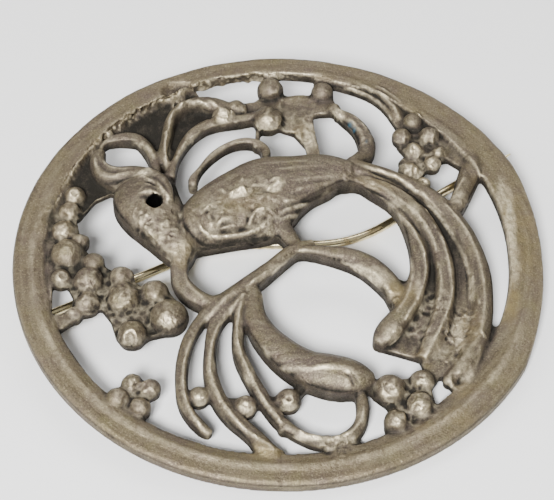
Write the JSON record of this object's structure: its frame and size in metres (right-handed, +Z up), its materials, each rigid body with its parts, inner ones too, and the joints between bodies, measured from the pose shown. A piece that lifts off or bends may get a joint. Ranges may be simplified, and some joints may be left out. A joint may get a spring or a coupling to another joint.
{
  "type": "round bird brooch",
  "caption": "Round pierced cast brooch with a bird on a branch, berries and curls in relief inside a plain rim; wire pin on a hinge closes in an open hook.",
  "frame": {"origin": "centre of the bounding box, at its lowest point, which is the surface the brooch lies on", "axes": "+Z up, with the brooch lying face up on its hinge ear, its hook and the near edge of its rim, +Y towards the top of the picture, +X towards its right side"},
  "size_m": [0.0532, 0.0538, 0.0077],
  "materials": {
    "casting": "worn antique bronze, brown-grey patina in the recesses and bright worn ridges",
    "hinge_rivet": "tarnished",
    "pin_stem": "drawn wire, bright where it is rubbed"
  },
  "bodies": {
    "brooch": {"casting": "casting", "hinge_rivet": "hinge_rivet"},
    "pin": {"pin_stem": "pin_stem"}
  },
  "joints": [
    {"name": "pin_turn", "type": "hinge", "parent": "brooch", "child": "pin", "pos_m": [-0.02395, -0.00677, 0.00139], "axis": [-0.4901, 0.8373, -0.2421], "range_deg": [0, 70]}
  ]
}
